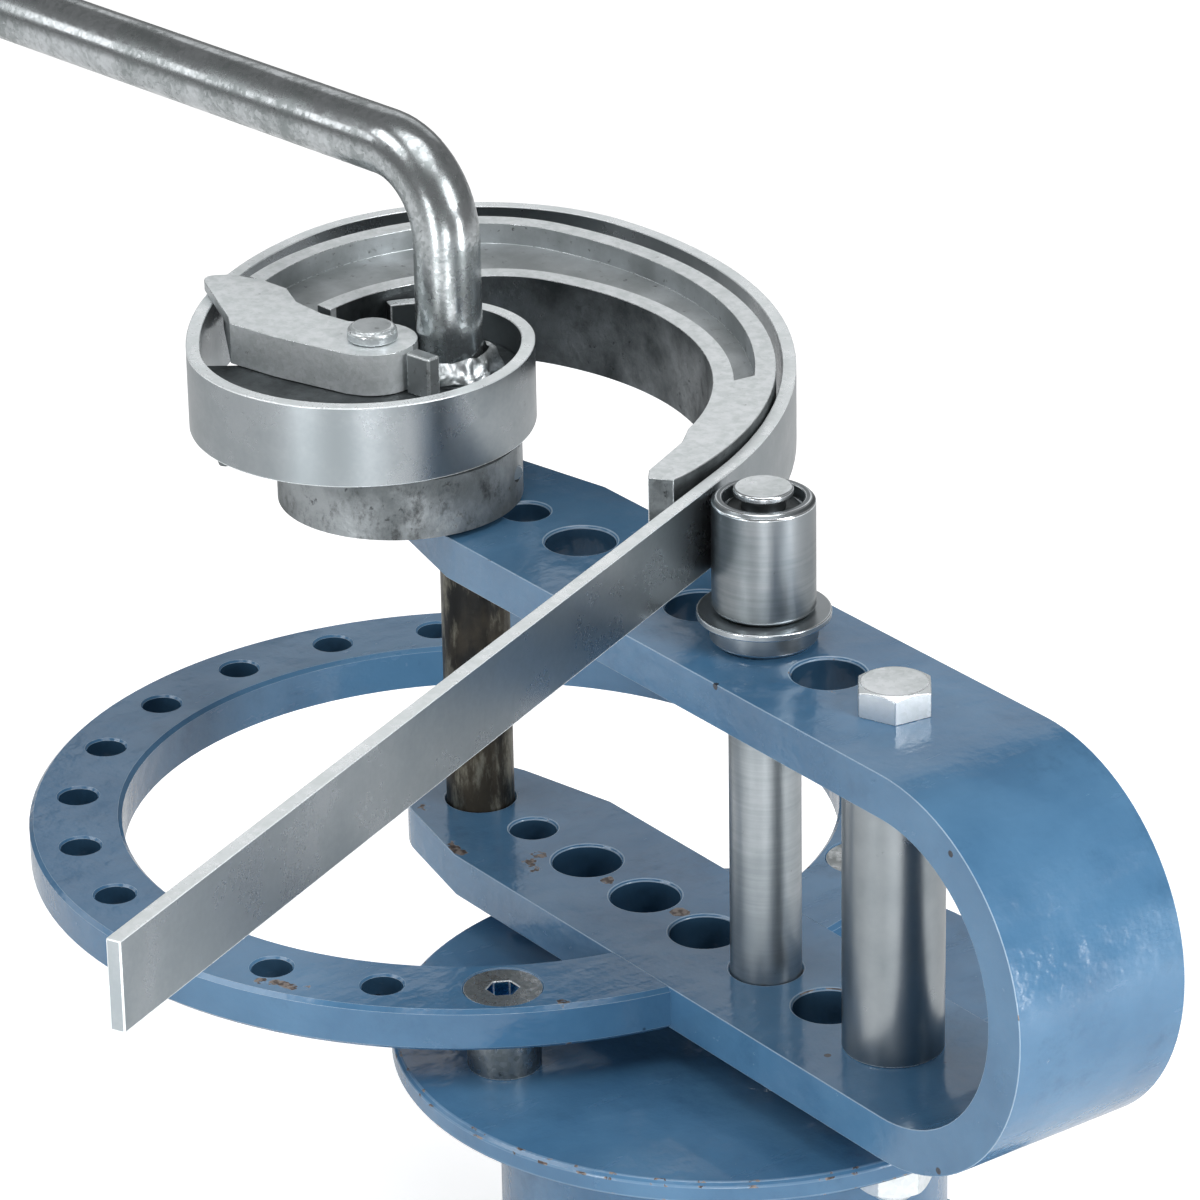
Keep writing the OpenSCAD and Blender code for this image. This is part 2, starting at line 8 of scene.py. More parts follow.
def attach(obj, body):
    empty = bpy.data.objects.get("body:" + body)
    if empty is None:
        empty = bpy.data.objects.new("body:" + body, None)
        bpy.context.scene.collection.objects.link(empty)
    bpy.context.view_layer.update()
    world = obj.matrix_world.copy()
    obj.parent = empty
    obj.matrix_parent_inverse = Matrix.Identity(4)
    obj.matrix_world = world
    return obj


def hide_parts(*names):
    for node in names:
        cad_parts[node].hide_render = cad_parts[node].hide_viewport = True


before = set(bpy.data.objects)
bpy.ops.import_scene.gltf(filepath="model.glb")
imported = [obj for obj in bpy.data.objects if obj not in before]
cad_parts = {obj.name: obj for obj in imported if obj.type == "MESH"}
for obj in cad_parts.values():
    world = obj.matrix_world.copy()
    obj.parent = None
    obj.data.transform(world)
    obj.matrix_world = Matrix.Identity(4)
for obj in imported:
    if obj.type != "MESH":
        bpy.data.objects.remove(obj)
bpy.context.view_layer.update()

# The camera stands a good two metres off, a little above the tool, with a long lens.
# Its place, its turn and its slight roll come from a fit to the photograph.
azimuth, elevation, roll = math.radians(53.96), math.radians(24.45), math.radians(-1.05)
camera_place = (1.4835, -1.1297, 1.1699)
level = Vector((math.cos(azimuth), math.sin(azimuth), 0))
back = Vector((math.sin(azimuth) * math.cos(elevation),
               -math.cos(azimuth) * math.cos(elevation), math.sin(elevation)))
upright = back.cross(level)
right = math.cos(roll) * level + math.sin(roll) * upright
up = -math.sin(roll) * level + math.cos(roll) * upright
camera_data = bpy.data.cameras.new("camera")
camera_data.lens = 180
camera_data.sensor_width = 36
camera_data.clip_end = 50
camera = bpy.data.objects.new("camera", camera_data)
camera.matrix_world = Matrix((right, up, back)).transposed().to_4x4()
camera.location = camera_place
bpy.context.collection.objects.link(camera)
bpy.context.scene.camera = camera
bpy.context.scene.view_settings.view_transform = "Standard"

# The floor is a plain pale sheet under the foot plate. The camera sees it as white, mirrors see it
# as a little brighter than it is, and it keeps the tool's soft shadow.
floor_reach = 12
floor_colour = (0.88, 0.88, 0.88, 1)
lift_for_camera, lift_in_mirrors = 0.62, 0.15
floor_mesh = bmesh.new()
bmesh.ops.create_grid(floor_mesh, x_segments=1, y_segments=1, size=floor_reach)
floor_data = bpy.data.meshes.new("floor")
floor_mesh.to_mesh(floor_data)
floor_mesh.free()
floor = bpy.data.objects.new("floor", floor_data)
bpy.context.collection.objects.link(floor)
floor_paint = bpy.data.materials.new("floor_paint")
floor_paint.use_nodes = True
floor_tree = floor_paint.node_tree
floor_shader = floor_tree.nodes["Principled BSDF"]
floor_shader.inputs["Base Color"].default_value = floor_colour
floor_shader.inputs["Roughness"].default_value = 0.9
floor_shader.inputs["Emission Color"].default_value = (1, 1, 1, 1)
seen_by = floor_tree.nodes.new("ShaderNodeLightPath")
in_mirrors = floor_tree.nodes.new("ShaderNodeMath")
in_mirrors.operation = "MULTIPLY"
in_mirrors.inputs[1].default_value = lift_in_mirrors
floor_tree.links.new(seen_by.outputs["Is Glossy Ray"], in_mirrors.inputs[0])
lift = floor_tree.nodes.new("ShaderNodeMath")
lift.operation = "MULTIPLY_ADD"
lift.inputs[1].default_value = lift_for_camera
floor_tree.links.new(seen_by.outputs["Is Camera Ray"], lift.inputs[0])
floor_tree.links.new(in_mirrors.outputs[0], lift.inputs[2])
floor_tree.links.new(lift.outputs[0], floor_shader.inputs["Emission Strength"])
floor_data.materials.append(floor_paint)

# Plain studio light: wide soft lamps to the left, to the right and above, a weak one behind and one
# at the side, and three low strips that draw upright bands in round steel.
def soft_lamp(name, place, size, watts):
    middle_of_tool = Vector((-0.05, 0, 0.3))
    data = bpy.data.lights.new(name, "AREA")
    data.shape = "RECTANGLE"
    data.size, data.size_y = size
    data.energy = watts
    lamp = bpy.data.objects.new(name, data)
    lamp.location = place
    lamp.rotation_euler = (middle_of_tool - Vector(place)).to_track_quat("-Z", "Y").to_euler()
    lamp.visible_camera = False
    bpy.context.collection.objects.link(lamp)

soft_lamp("lamp_left", (-0.9, -1.9, 2.2), (1.4, 1.0), 15)
soft_lamp("lamp_right", (2.0, 0.5, 1.7), (1.0, 1.0), 27)
soft_lamp("lamp_behind", (-1.45, 1.30, 1.32), (1.4, 0.8), 1.9)
soft_lamp("lamp_above", (0.3, -0.2, 2.7), (1.8, 1.8), 22)
soft_lamp("lamp_side", (-1.5, -1.05, 0.95), (1.2, 0.45), 2.5)
soft_lamp("strip_left", (0.25, -1.25, 0.30), (0.24, 0.55), 3.6)
soft_lamp("strip_front", (0.98, -0.72, 0.18), (0.34, 0.34), 2.6)
soft_lamp("strip_right", (1.15, 0.40, 0.30), (0.24, 0.55), 4.4)

# The surround is an even pale grey to the tool, and white to the camera.
# It fills the shadows without a lamp of its own.
surround_strength = 0.17
surround = bpy.data.worlds.new("surround")
surround.use_nodes = True
surround_tree = surround.node_tree
surround_light = surround_tree.nodes["Background"]
surround_light.inputs["Color"].default_value = (1, 1, 1, 1)
sky_seen_by = surround_tree.nodes.new("ShaderNodeLightPath")
sky_lift = surround_tree.nodes.new("ShaderNodeMath")
sky_lift.operation = "MULTIPLY_ADD"
sky_lift.inputs[1].default_value = 1 - surround_strength
sky_lift.inputs[2].default_value = surround_strength
surround_tree.links.new(sky_seen_by.outputs["Is Camera Ray"], sky_lift.inputs[0])
surround_tree.links.new(sky_lift.outputs[0], surround_light.inputs["Strength"])
bpy.context.scene.world = surround

# The round foot plate that the tool is bolted down by, sawn from steel plate and drilled, with a
# gloss blue-grey enamel over it. Handled and dropped bars have chipped the enamel along its rims,
# and its eased rims are painted paler as a highlight.
def shade(red, green, blue):
    # A colour by its screen values, 0 to 255
    def light_of(value):
        share = value / 255
        return share / 12.92 if value < 10.3 else ((share + 0.055) / 1.055) ** 2.4
    return light_of(red), light_of(green), light_of(blue), 1

def set_or_link(tree, socket, value):
    if isinstance(value, bpy.types.NodeSocket):
        tree.links.new(value, socket)
    else:
        socket.default_value = value

def finish_node(tree, kind, inputs=(), **settings):
    made = tree.nodes.new(kind)
    for key, value in settings.items():
        setattr(made, key, value)
    for key, value in dict(inputs).items():
        set_or_link(tree, made.inputs[key], value)
    return made

def place_on(tree, stretch=(1, 1, 1)):
    spot = finish_node(tree, "ShaderNodeTexCoord").outputs["Object"]
    return finish_node(tree, "ShaderNodeMapping", {"Vector": spot, "Scale": stretch}).outputs["Vector"]

def mottle(tree, scale, detail=4.0, stretch=(1, 1, 1), rough=0.55):
    return finish_node(tree, "ShaderNodeTexNoise", {"Vector": place_on(tree, stretch), "Scale": scale,
        "Detail": detail, "Roughness": rough}).outputs["Fac"]

def between(tree, value, low, high, out_low=0.0, out_high=1.0):
    # A soft step: out_low where the value is at low, out_high where it is at high
    return finish_node(tree, "ShaderNodeMapRange", {"Value": value, "From Min": low, "From Max": high,
        "To Min": out_low, "To Max": out_high}, interpolation_type="SMOOTHSTEP").outputs["Result"]

def worked(tree, how, first, second):
    return finish_node(tree, "ShaderNodeMath", {0: first, 1: second}, operation=how).outputs[0]

def plus(tree, first, second):
    return worked(tree, "ADD", first, second)

def times(tree, first, second):
    return worked(tree, "MULTIPLY", first, second)

def blend_colours(tree, amount, first, second):
    made = finish_node(tree, "ShaderNodeMix", {0: amount}, data_type="RGBA")
    set_or_link(tree, made.inputs[6], first)
    set_or_link(tree, made.inputs[7], second)
    return made.outputs[2]

def relief(tree, height, strength, depth):
    return finish_node(tree, "ShaderNodeBump",
        {"Height": height, "Strength": strength, "Distance": depth}).outputs["Normal"]

def new_finish(name):
    made = bpy.data.materials.new(name)
    made.use_nodes = True
    return made, made.node_tree, made.node_tree.nodes["Principled BSDF"]

def drive(tree, shader, **sockets):
    for key, value in sockets.items():
        set_or_link(tree, shader.inputs[key.replace("_", " ")], value)

def rim_of_holes(tree, centres, radius, reach):
    # Nearness to upright holes, on level faces: 1 up to the radius, 0 at the given reach outside it
    spot = finish_node(tree, "ShaderNodeTexCoord").outputs["Object"]
    flat = finish_node(tree, "ShaderNodeVectorMath", {0: spot, 1: (1, 1, 0)}, operation="MULTIPLY")
    flat = flat.outputs[0]
    near = None
    for x, y in centres:
        far = finish_node(tree, "ShaderNodeVectorMath", {0: flat, 1: (x, y, 0)}, operation="DISTANCE")
        far = far.outputs["Value"]
        near = far if near is None else worked(tree, "MINIMUM", near, far)
    facing = finish_node(tree, "ShaderNodeNewGeometry").outputs["Normal"]
    facing = finish_node(tree, "ShaderNodeSeparateXYZ", {0: facing}).outputs["Z"]
    level_face = between(tree, worked(tree, "ABSOLUTE", facing, 0), 0.5, 0.8)
    return times(tree, between(tree, near, radius + reach, radius), level_face)

def enamel(name, wear, spots=(), spot_radius=0.01, spot_reach=0.005, least=0.0,
           pale=0.0, painted_light_tint=shade(150, 178, 204)):
    # Gloss blue-grey paint. The higher the wear, the more of it is chipped to rusty steel. It chips
    # more at the given spots, in patches, and least is how much the quiet patches get of that. pale
    # mixes the paint towards the given colour: paler as a painted highlight on eased rims, darker as
    # painted shade in bores.
    made, tree, shader = new_finish(name)

    # Soft clouds in the blue, grime in them, and a few specks of dust that dried in
    cloud = between(tree, mottle(tree, 14, 5), 0.3, 0.7)
    paint = blend_colours(tree, cloud, shade(66, 109, 145), shade(86, 130, 166))
    grime = between(tree, mottle(tree, 34, 7, rough=0.7), 0.52, 0.78)
    paint = blend_colours(tree, times(tree, grime, 0.45), paint, shade(42, 78, 108))
    # Painted light: pale mixes the paint towards the given colour, as a highlight on rims and as shade
    # in bores
    paint = blend_colours(tree, pale, paint, painted_light_tint)
    cells = finish_node(tree, "ShaderNodeTexVoronoi",
        {"Vector": place_on(tree), "Scale": 42, "Randomness": 1.0}, feature="F1")
    chosen = finish_node(tree, "ShaderNodeSeparateColor", {"Color": cells.outputs["Color"]})
    chosen = chosen.outputs["Red"]
    speck = between(tree, cells.outputs["Distance"], 0.062, 0.045)
    dust = times(tree, speck, between(tree, chosen, 0.55, 0.60))
    paint = blend_colours(tree, dust, paint, shade(24, 36, 52))

    # Chips down to brown steel, each with a paler edge of broken paint
    chance = mottle(tree, 150, 6, rough=0.62)
    if spots:
        near = rim_of_holes(tree, spots, spot_radius, spot_reach)
        patch = between(tree, mottle(tree, 30, 2), 0.38, 0.54, least, 1.0)
        chance = plus(tree, chance, times(tree, times(tree, near, patch), 0.34))
    chip = between(tree, chance, 0.80 - wear, 0.815 - wear)
    halo = between(tree, chance, 0.74 - wear, 0.80 - wear)
    rust = blend_colours(tree, between(tree, mottle(tree, 420, 5), 0.4, 0.6),
        shade(80, 70, 67), shade(150, 140, 134))
    paint = blend_colours(tree, times(tree, halo, 0.4), paint, shade(132, 160, 188))

    # Scuffs in the gloss, brush waves under it, and the chips sunk into it
    scuff = between(tree, mottle(tree, 60, 7, (1, 0.3, 1), 0.65), 0.35, 0.72, 0.11, 0.30)
    wave = plus(tree, mottle(tree, 48, 4), times(tree, mottle(tree, 170, 4, (1, 0.4, 1)), 0.3))
    height = worked(tree, "SUBTRACT", wave, times(tree, chip, 0.5))
    drive(tree, shader, Base_Color=blend_colours(tree, chip, paint, rust),
          Roughness=plus(tree, scuff, times(tree, chip, 0.5)), Metallic=times(tree, chip, 0.35),
          Specular_IOR_Level=0.5, Coat_Weight=0.35, Coat_Roughness=0.07,
          Normal=relief(tree, height, 0.5, 0.0018))
    return made

def worn_copy(name, node, body, finishes, edge=0.0008, sharp=32, where=()):
    # A closed, smooth copy of a CAD piece, with the edges that turn by more than sharp degrees
    # eased. The first finish goes on the piece, the last on those edges; where pairs the number of
    # a finish with a test of the faces that it is for, and the last test that fits holds.
    mesh = bmesh.new()
    mesh.from_mesh(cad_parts[node].data)
    same_point, flat_enough, turn_limit = 1e-5, math.radians(0.4), math.radians(sharp)
    bmesh.ops.remove_doubles(mesh, verts=mesh.verts, dist=same_point)
    bmesh.ops.dissolve_limit(mesh, angle_limit=flat_enough, verts=mesh.verts, edges=mesh.edges)
    for face in mesh.faces:
        face.smooth = True
        for number, fits in where:
            if fits(face.normal, face.calc_center_median()):
                face.material_index = number
    for side in mesh.edges:
        side.smooth = side.calc_face_angle(0) < turn_limit
    data = bpy.data.meshes.new(name)
    mesh.to_mesh(data)
    mesh.free()
    piece = bpy.data.objects.new(name, data)
    bpy.context.collection.objects.link(piece)
    for finish in finishes:
        data.materials.append(finish)
    ease = piece.modifiers.new("eased_edges", "BEVEL")
    ease.width = edge
    ease.segments = 2
    ease.limit_method = "ANGLE"
    ease.angle_limit = turn_limit
    ease.harden_normals = True
    ease.material = len(finishes) - 1
    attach(piece, body)
    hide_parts(node)
    return piece

flat_paint = enamel("enamel_flats", 0.03)
# Eased rims of the painted parts get a paler enamel: a painted highlight, over real chips.
rim_chips_and_highlight = enamel("enamel_rims_chips_and_highlight", 0.12, pale=0.75, painted_light_tint=shade(166, 190, 212))
worn_copy("foot", "foot_plate", "pedestal", [flat_paint, rim_chips_and_highlight], 0.0012)

# The column is a length of seamless steel tube. It is welded between the foot and the top disc,
# and painted together with them.
# Its eased rims are painted paler as a highlight.
worn_copy("column", "column_tube", "pedestal", [flat_paint, rim_chips_and_highlight])

# The round top disc of the pedestal, turned from steel plate and welded on the column. Its upper
# rim has lost most of its paint where bars were slid over it, and is painted paler as a highlight.
disc_rim_wear_and_highlight = enamel("enamel_disc_rim_wear_and_highlight", 0.21, pale=0.3)
worn_copy("disc", "top_disc", "pedestal", [flat_paint, disc_rim_wear_and_highlight], 0.0010)

# Two bosses hold the stop ring above the disc. They are cut from round steel bar and tapped, and
# they are galvanised.
def galvanised(name, dark, light, rough=0.30, depth=0.0005, blotch=45, marks_from=0.60,
               streak=(1, 1, 1), metal_share=0.95):
    # Zinc over steel, from a dark to a light grey: fine crystals, cloudy patches and dark marks
    made, tree, shader = new_finish(name)
    crystal = finish_node(tree, "ShaderNodeTexVoronoi",
        {"Vector": place_on(tree), "Scale": 620, "Randomness": 1.0}, feature="F1").outputs["Color"]
    crystal = finish_node(tree, "ShaderNodeSeparateColor", {"Color": crystal}).outputs["Red"]
    cloud = mottle(tree, blotch, 7, streak, 0.62)
    tone = plus(tree, times(tree, crystal, 0.16), times(tree, cloud, 0.84))
    metal = blend_colours(tree, between(tree, tone, 0.30, 0.68),
        shade(dark, dark + 7, dark + 8), shade(light, light + 5, light + 8))
    marks = between(tree, mottle(tree, 260, 7, rough=0.7), marks_from, marks_from + 0.12)
    metal = blend_colours(tree, times(tree, marks, 0.75), metal, shade(52, 54, 56))
    lumps = plus(tree, mottle(tree, 260, 5), times(tree, cloud, 0.6))
    drive(tree, shader, Base_Color=metal, Metallic=metal_share,
          Roughness=between(tree, tone, 0.3, 0.7, rough + 0.12, rough - 0.08),
          Normal=relief(tree, lumps, 0.3, depth))
    return made

zinc_body = galvanised("zinc_body", 112, 168)
# Eased edges of zinc parts are painted near white: a painted highlight.
zinc_edge_highlight = galvanised("zinc_edge_highlight", 206, 244, rough=0.26, depth=0.0002, metal_share=0.7)
worn_copy("bosses", "ring_bosses", "pedestal", [zinc_body, zinc_edge_highlight], 0.0006)

# Two countersunk socket screws go through the stop ring into the bosses. Their heads are zinc
# plated, and the sockets carry a painted blue reflection.
screw_zinc = galvanised("screw_zinc", 150, 214, rough=0.28, depth=0.0003, blotch=120)
socket_blue_reflection = galvanised("socket_blue_reflection", 150, 214, rough=0.24, depth=0.0003, blotch=120)
socket_shader = socket_blue_reflection.node_tree.nodes["Principled BSDF"]
socket_shader.inputs["Coat Weight"].default_value = 1.0
socket_shader.inputs["Coat Tint"].default_value = shade(96, 178, 226)
near_level, near_upright = 0.9, 0.2
heads_from, socket_from, head_top = 0.175, 0.184, 0.1888

def in_socket(normal, middle):
    # Level faces and walls are told apart by how far a face's normal points up or down
    in_floor = heads_from < middle.z < head_top and abs(normal.z) > near_level
    in_wall = middle.z > socket_from and abs(normal.z) < near_upright
    return in_floor or in_wall

worn_copy("screws", "ring_screws", "pedestal", [screw_zinc, socket_blue_reflection, zinc_edge_highlight], 0.0004,
    where=[(1, in_socket)])

# The stop ring is flame cut from steel plate, drilled for stop pins, and welded to the lower arm
# with the weld ground flush. Dropped bars have struck its paint off in a short streak and one spot.
pivot = Vector((-0.146, 0))
ring_hole_circle = 0.149
first_hole_turn, hole_spacing = 311.3, 16
ring_holes = []
for step in range(12):
    turn = math.radians(first_hole_turn - hole_spacing * step)
    ring_holes.append(pivot + ring_hole_circle * Vector((math.cos(turn), math.sin(turn))))
struck = [(-0.0756 + 0.0034 * k, -0.1433 + 0.0022 * k) for k in range(5)] + [(0.0019, -0.0697)]
ring_paint = enamel("enamel_ring", 0.03, struck, spot_radius=0.0012, spot_reach=0.0034, least=0.95)
# Hole walls get a near-black enamel with little gloss: painted shade.
bore_painted_shade = enamel("enamel_bores_painted_shade", 0.03, pale=0.6, painted_light_tint=shade(14, 26, 38))
bore_shader = bore_painted_shade.node_tree.nodes["Principled BSDF"]
bore_shader.inputs["Specular IOR Level"].default_value = 0.15
bore_shader.inputs["Coat Weight"].default_value = 0.0

def walls_of(holes, reach):
    return lambda normal, middle: abs(normal.z) < near_upright and any(
        (middle.xy - Vector(hole)).length < reach for hole in holes)

# Its hole walls are painted near black as shade, and its eased rims paler as a painted highlight.
worn_copy("ring", "stop_ring", "pedestal", [ring_paint, bore_painted_shade, rim_chips_and_highlight], 0.0010,
    where=[(1, walls_of(ring_holes, 0.009))])

# The frame is one flat steel bar, bent on its side to a loop and drilled with a row of pin holes
# through both arms. Pins and bars have bruised the paint near the holes down to rusty steel.
small_hole = (-0.113, 0)
pin_holes = [(-0.080, 0), (-0.045, 0), (-0.010, 0), (0.025, 0), (0.060, 0)]
pin_hole_radius = 0.01255
bruised = [(-0.1553, -0.0164), (-0.1510, -0.0205), (-0.0916, -0.0169), (-0.0945, -0.0110),
    (-0.0865, -0.0195), (-0.1225, -0.0315), (-0.1182, -0.0326), (-0.1137, -0.0335),
    (-0.0625, -0.0040), (-0.0270, 0.0020)]
arm_paint = enamel("enamel_arms", 0.03, pin_holes[3:], spot_radius=pin_hole_radius, spot_reach=0.008)
lower_paint = enamel("enamel_lower_arm", 0.03, bruised, spot_radius=0.0018, spot_reach=0.0038,
    least=0.85)
between_arms = 0.25
# Its hole walls are painted near black as shade, and its eased rims paler as a painted highlight.
worn_copy("looped_frame", "u_frame", "pedestal",
    [arm_paint, bore_painted_shade, lower_paint, rim_chips_and_highlight], 0.0012,
    where=[(2, lambda normal, middle: normal.z > near_level and middle.z < between_arms),
        (1, walls_of(pin_holes + [small_hole], 0.0135))])

# The far pair of holes is closed by a hexagon bolt, with a bush below the lower arm, a spacer tube
# between the arms, and a washer and nut. They are bought or turned from steel, and zinc plated.
def turned(name, dark, light, rough=0.26, grooves=900, across=(0.02, 0.02, 1), ring_share=0.25,
           cut=0.06):
    # Bright lathe-turned steel, from a dark to a light grey: fine rings, clouds and handling marks
    made, tree, shader = new_finish(name)
    rings = mottle(tree, grooves, 3, across)
    cloud = mottle(tree, 34, 5)
    tone = plus(tree, times(tree, rings, ring_share), times(tree, cloud, 1 - ring_share))
    metal = blend_colours(tree, between(tree, tone, 0.35, 0.65),
        shade(dark, dark + 8, dark + 12), shade(light, light + 6, light + 10))
    marks = between(tree, mottle(tree, 240, 8, rough=0.7), 0.65, 0.75)
    metal = blend_colours(tree, times(tree, marks, 0.40), metal, shade(86, 87, 88))
    drive(tree, shader, Base_Color=metal, Metallic=0.97,
          Roughness=between(tree, tone, 0.35, 0.65, rough + 0.04, rough - 0.03),
          Normal=relief(tree, rings, cut, 0.0002))
    return made

spacer_zinc = turned("spacer_zinc", 134, 154, rough=0.30, grooves=60, across=(1, 1, 0.2),
    ring_share=0.3, cut=0.01)
bolt_zinc = galvanised("bolt_zinc", 216, 242, rough=0.36, depth=0.0001, blotch=60, marks_from=0.74,
    metal_share=0.5)
chamfer_turn = 18
worn_copy("bush", "arm_bush", "pedestal", [zinc_body, zinc_edge_highlight], 0.0005)
worn_copy("spacer", "frame_spacer", "pedestal", [spacer_zinc, zinc_edge_highlight], 0.0007)
worn_copy("bolt", "frame_bolt", "pedestal", [bolt_zinc, zinc_edge_highlight], 0.0003, chamfer_turn)
worn_copy("washer", "nut_washer", "pedestal", [zinc_body, zinc_edge_highlight], 0.0003)
worn_copy("nut", "frame_nut", "pedestal", [bolt_zinc, zinc_edge_highlight], 0.0003, chamfer_turn)

# The pivot post is a plain round steel bar that stands through both arms and carries the head. It
# is left black from the mill and oiled, with brown rust on it in upright streaks.
post_steel, tree, shader = new_finish("post_steel")
oil = finish_node(tree, "ShaderNodeTexNoise", {"Vector": place_on(tree, (1, 1, 0.5)), "Scale": 26,
    "Detail": 6, "Roughness": 0.6, "Distortion": 0.4}).outputs["Fac"]
rubbed = between(tree, mottle(tree, 90, 8, (1, 1, 0.3), 0.7), 0.50, 0.66)
black_and_brown = blend_colours(tree, between(tree, oil, 0.46, 0.70),
    shade(36, 37, 37), shade(74, 68, 58))
drive(tree, shader, Base_Color=blend_colours(tree, rubbed, black_and_brown, shade(126, 124, 112)),
      Metallic=0.8, Roughness=between(tree, oil, 0.3, 0.7, 0.24, 0.5),
      Normal=relief(tree, mottle(tree, 180, 6), 0.35, 0.0006))
worn_copy("post", "pivot_post", "head", [post_steel], 0.0008)

# A thrust washer lies between the upper arm and the turning hub. It is turned from steel, and its
# rim is bright from use. Its own CAD shape stays, with this finish.
turned_steel = turned("turned_steel", 150, 176, rough=0.34, cut=0.02)
# Eased edges of turned parts are painted near white: a painted highlight.
turned_edge_highlight = turned("turned_edge_highlight", 206, 240, rough=0.2)
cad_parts["thrust_washer"].data.materials.clear()
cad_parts["thrust_washer"].data.materials.append(turned_steel)

# The scroll core is one iron casting: a round hub with the cam plate that the bar is wound on. Its
# skin is grey and pitted as it came from the sand. A turned cross pin fixes it on the post.
def sand_cast(name, dark, pale, grain=260, depth=0.0011, rough=0.5, metal=0.7, stain=0.0):
    # Cast metal, from a dark to a pale grey: soft clouds, pits of the given grain, and stains
    made, tree, shader = new_finish(name)
    cloud = mottle(tree, 38, 6)
    pits = between(tree, mottle(tree, grain, 7, rough=0.65), 0.60, 0.72)
    skin = blend_colours(tree, between(tree, cloud, 0.32, 0.70),
        shade(dark, dark + 6, dark + 8), shade(pale, pale + 6, pale + 9))
    skin = blend_colours(tree, times(tree, pits, 0.75), skin, shade(38, 37, 38))
    stains = between(tree, mottle(tree, 110, 8, (1, 1, 0.7), 0.75), 0.48, 0.70, 0.0, stain)
    skin = blend_colours(tree, stains, skin, shade(44, 46, 47))
    height = worked(tree, "SUBTRACT", mottle(tree, grain, 5), pits)
    drive(tree, shader, Base_Color=skin, Metallic=metal,
          Roughness=between(tree, cloud, 0.3, 0.7, rough + 0.1, rough - 0.1),
          Normal=relief(tree, height, 0.4, depth))
    return made

# The casting's level faces are painted darker than its hub, as shade under the wound bar, and its
# eased edges paler, as a painted highlight.
core_skin = sand_cast("core_skin", 104, 166, stain=0.8)
cam_top_painted_shade = sand_cast("cam_top_painted_shade", 62, 104, stain=0.6)
pale_cast_and_edge_highlight = sand_cast("pale_cast_and_edge_highlight", 140, 190, depth=0.0006, rough=0.36)
worn_copy("core", "scroll_core", "head", [core_skin, cam_top_painted_shade, pale_cast_and_edge_highlight], 0.0009,
    where=[(1, lambda normal, middle: normal.z > near_level)])
worn_copy("cross_pin", "post_roll_pin", "head", [turned_steel, turned_edge_highlight], 0.0004)

# The stop lug holds the inner end of the bar. It is a small block of cast iron on the cam plate,
# with a painted highlight on its eased edges.
worn_copy("stop_lug", "strip_stop", "head", [pale_cast_and_edge_highlight, zinc_edge_highlight], 0.0009)

# The handle is a round steel bar, bent hot from the upright to the level. It was galvanised after
# bending, so its zinc is blotchy.
handle_zinc = galvanised("handle_zinc", 150, 208, rough=0.22, depth=0.00016, blotch=60,
    marks_from=0.62, streak=(1, 1, 0.5))
worn_copy("handle", "handle_bar", "head", [handle_zinc, zinc_edge_highlight], 0.0010)

# A rough fillet of weld joins the handle's foot to the cam plate, laid by hand in short lumpy runs
# and left as it cooled. Only its upper part is lumpy, so that it stays seated on the plate.
weld_skin = galvanised("weld_skin", 140, 220, rough=0.36, depth=0.0012, blotch=120)
weld = worn_copy("weld", "handle_weld", "head", [weld_skin], 0.0006)
weld_x, weld_y = -0.154, -0.0025
seated_below = 0.3585
lumps_a_metre, grains_a_metre = 120, 320
swell, lump_out, lump_up = 0.0010, 0.0026, 0.0030
runs = bmesh.new()
runs.from_mesh(weld.data)
bmesh.ops.triangulate(runs, faces=runs.faces)
bmesh.ops.subdivide_edges(runs, edges=runs.edges, cuts=2, use_grid_fill=True)
for point in runs.verts:
    if point.co.z > seated_below:
        outwards = Vector((point.co.x - weld_x, point.co.y - weld_y, 0)).normalized()
        lump = noise.noise(point.co * lumps_a_metre) + 0.2 * noise.noise(point.co * grains_a_metre)
        rise = Vector((0, 0, lump_up * max(lump, -0.2)))
        point.co += outwards * (lump_out * lump + swell) + rise
for face in runs.faces:
    face.smooth = True
runs.to_mesh(weld.data)
runs.free()

# The hinge pin holds the former on the cam plate. It is a grey iron pin with a flat round head,
# peened, with a painted highlight on its rim.
pin_head = sand_cast("pin_head", 156, 200, grain=320, depth=0.0005, rough=0.42, metal=0.6)
worn_copy("hinge", "hinge_pin", "head", [pin_head, zinc_edge_highlight], 0.0007)

# The former is one curved casting with a channel in its top, and a finger that hinges on the pin.
# It is galvanised hot and spangled. Its walls are painted dark as shade, its level tops, finger and
# channel pale as painted light, and its eased rims near white as a painted highlight.
former_painted_wall_shade = sand_cast("former_painted_wall_shade", 70, 132, grain=300, depth=0.0008, rough=0.46, metal=0.85,
    stain=0.35)
former_top = galvanised("former_top", 226, 246, rough=0.36, depth=0.0006, blotch=220,
    marks_from=0.64, metal_share=0.45)
finger_painted_light = galvanised("finger_painted_light", 214, 242, rough=0.36, depth=0.0010, blotch=200,
    marks_from=0.62, metal_share=0.4)
channel_painted_light = sand_cast("channel_painted_light", 158, 198, grain=300, depth=0.0008, rough=0.5, metal=0.6)
former_edge_painted_highlight = galvanised("former_edge_painted_highlight", 206, 240, rough=0.26, depth=0.0004, blotch=120,
    marks_from=0.68)

channel_from, rims_from = 0.3655, 0.3735

def on_finger(normal, middle):
    by_the_pin = middle.y < -0.022 and -0.206 < middle.x < -0.140
    return by_the_pin and normal.z < near_level and normal.x > -0.4

former = worn_copy("former_casting", "scroll_former", "former",
    [former_painted_wall_shade, former_top, finger_painted_light, channel_painted_light, former_edge_painted_highlight], 0.0013,
    where=[(3, lambda normal, middle: middle.z > channel_from),
        (1, lambda normal, middle: normal.z > near_level and middle.z > rims_from),
        (2, on_finger)])

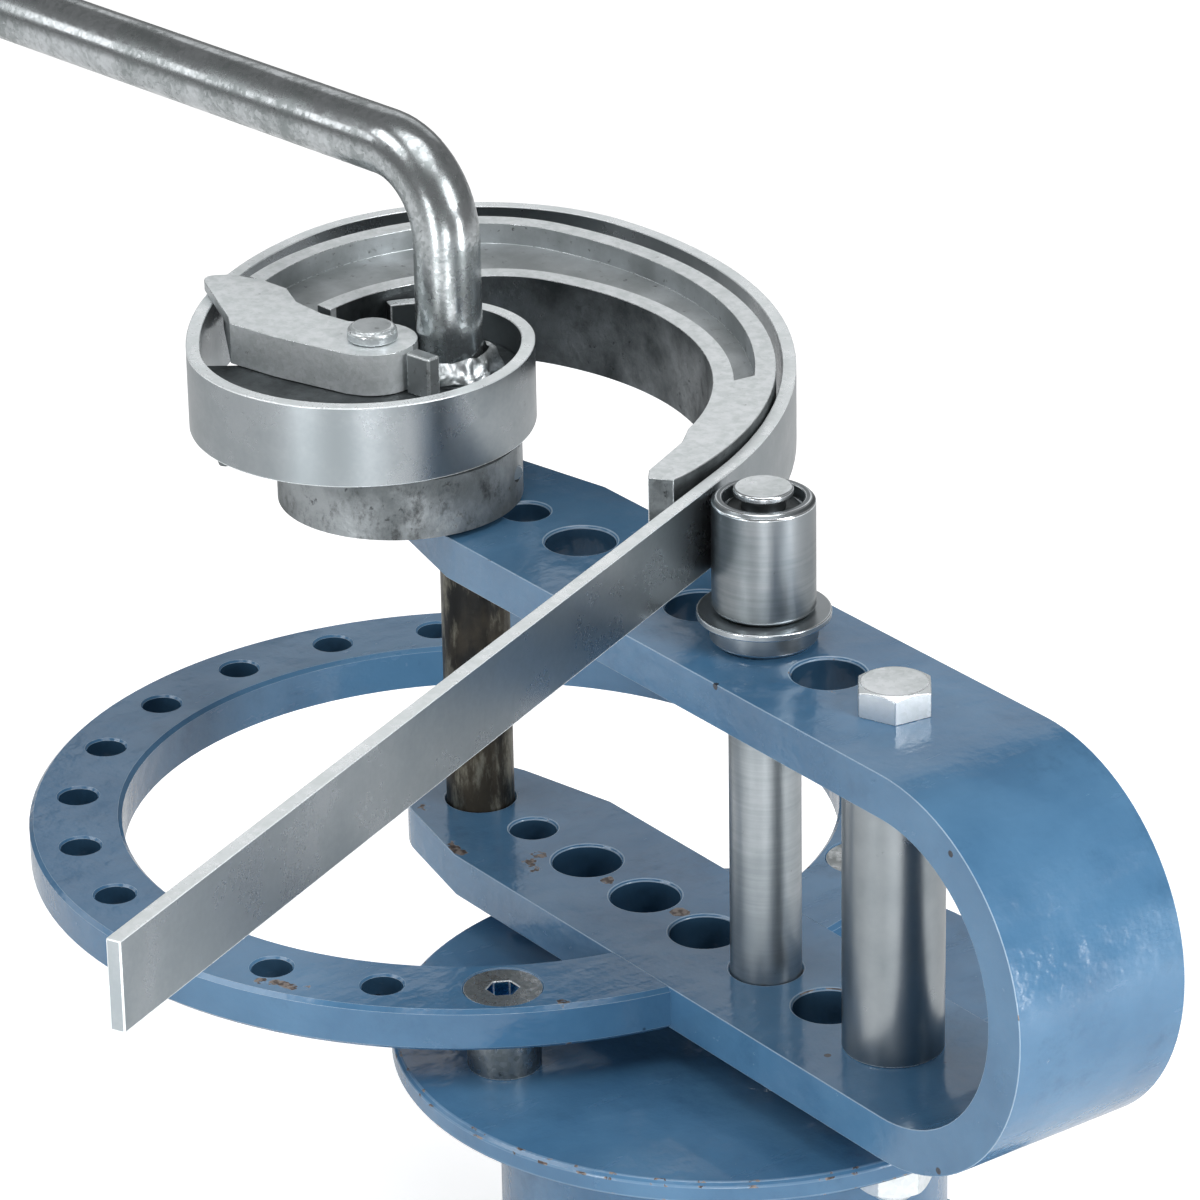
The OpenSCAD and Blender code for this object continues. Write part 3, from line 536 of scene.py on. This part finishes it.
# The finger runs into its round end without a step, and the corner of its tip is ground off.
# Both are dressed on the casting's copy, before its edges are eased.
round_end, tip_corner = Vector((-0.1522, -0.0416)), Vector((-0.253, -0.0425))
step_reach, corner_reach = 0.0007, 0.002
eased_from = math.radians(32)
dressed = bmesh.new()
dressed.from_mesh(former.data)
step_verts = [vert for vert in dressed.verts if (vert.co.xy - round_end).length < step_reach]
bmesh.ops.remove_doubles(dressed, verts=step_verts, dist=0.0005)
for side in dressed.edges:
    side.smooth = side.calc_face_angle(0) < eased_from
corner = [side for side in dressed.edges
    if all((vert.co.xy - tip_corner).length < corner_reach for vert in side.verts)]
bmesh.ops.bevel(dressed, geom=corner, offset=0.0045, segments=4, profile=0.5, affect="EDGES",
    material=-1)
dressed.to_mesh(former.data)
dressed.free()

# The counter roller is a sleeve that turns on a stepped pin, over a collar and a thin flange, and
# under a retaining ring. They are turned from bright steel, and the ring is dark spring steel.
# The level top of the pin's nose is painted near white: a painted highlight.
pin_nose_top_highlight = galvanised("pin_nose_top_highlight", 216, 242, rough=0.34, depth=0.0001, blotch=60, marks_from=0.74,
    metal_share=0.5)
sleeve_steel = turned("sleeve_steel", 116, 140, rough=0.32, cut=0.015)
clip_steel = sand_cast("clip_steel", 52, 84, grain=420, depth=0.0003, rough=0.4, metal=0.9)
nose_from, nose_turn = 0.3675, 20
worn_copy("counter_pin", "roller_pin", "counter_pin",
    [turned_steel, pin_nose_top_highlight, turned_edge_highlight], 0.0004, nose_turn,
    where=[(1, lambda normal, middle: middle.z > nose_from and normal.z > 0.3)])
worn_copy("collar", "roller_collar", "counter_pin", [turned_steel, turned_edge_highlight], 0.0004)
worn_copy("flange", "roller_flange", "counter_pin", [turned_steel, turned_edge_highlight], 0.0005)
worn_copy("clip", "roller_clip", "counter_pin", [clip_steel], 0.0002)
worn_copy("sleeve", "roller_sleeve", "roller", [sleeve_steel, turned_edge_highlight], 0.0005)

# The flat steel bar that is being rolled, cold bent round the core and the former. It is satin from
# the mill on its faces and sawn at its ends; its level top edge and its eased edges are painted near
# white as a highlight.
bar_face = turned("bar_face", 148, 162, rough=0.29, grooves=500, across=(1, 1, 1), ring_share=0.2,
    cut=0.02)
bar_top_and_edge_highlight = galvanised("bar_top_and_edge_highlight", 238, 250, depth=0.0001, blotch=90, marks_from=0.92,
    metal_share=0.4)
worn_copy("bar", "workpiece_strip", "head", [bar_face, bar_top_and_edge_highlight, bar_top_and_edge_highlight], 0.0005,
    where=[(1, lambda normal, middle: normal.z > near_level)])
